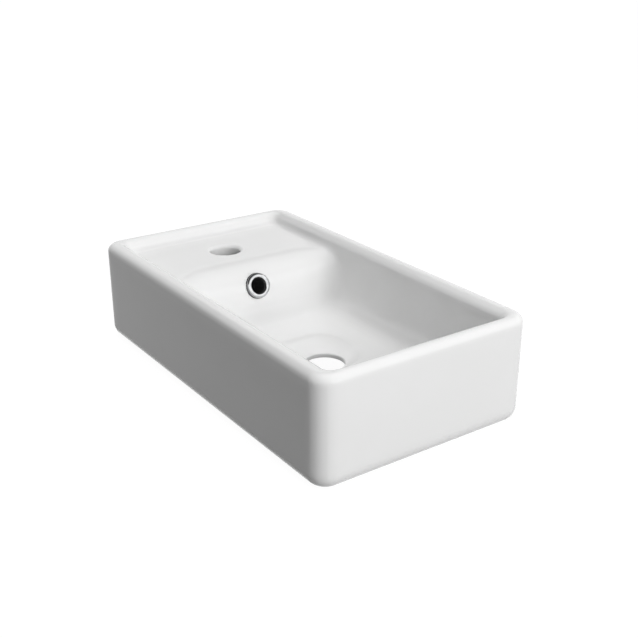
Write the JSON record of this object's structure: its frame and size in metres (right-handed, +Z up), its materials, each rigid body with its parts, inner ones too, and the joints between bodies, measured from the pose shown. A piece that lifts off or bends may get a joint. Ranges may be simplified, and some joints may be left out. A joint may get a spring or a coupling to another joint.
{
  "type": "hand basin",
  "caption": "Small rectangular white ceramic hand basin with a raised tap shelf at one end, a waste hole and a chrome-ringed overflow in the bowl's end wall.",
  "frame": {"origin": "centre of the footprint, on the plane that the basin's foot stands on", "axes": "+X along the long side, away from the tap shelf and towards the bowl; +Y towards the wall; +Z up"},
  "size_m": [0.45, 0.255, 0.116],
  "materials": {
    "glaze": "glossy white glaze",
    "plating": "polished chrome plate on plastic",
    "fitting": "satin black moulded plastic",
    "seal": "matt black rubber"
  },
  "bodies": {
    "root": {"basin_body": "glaze", "overflow_bezel": "plating", "overflow_front_seal": "seal", "overflow_tube": "fitting", "overflow_rear_seal": "seal", "overflow_backnut": "fitting", "overflow_elbow": "fitting"}
  },
  "joints": []
}
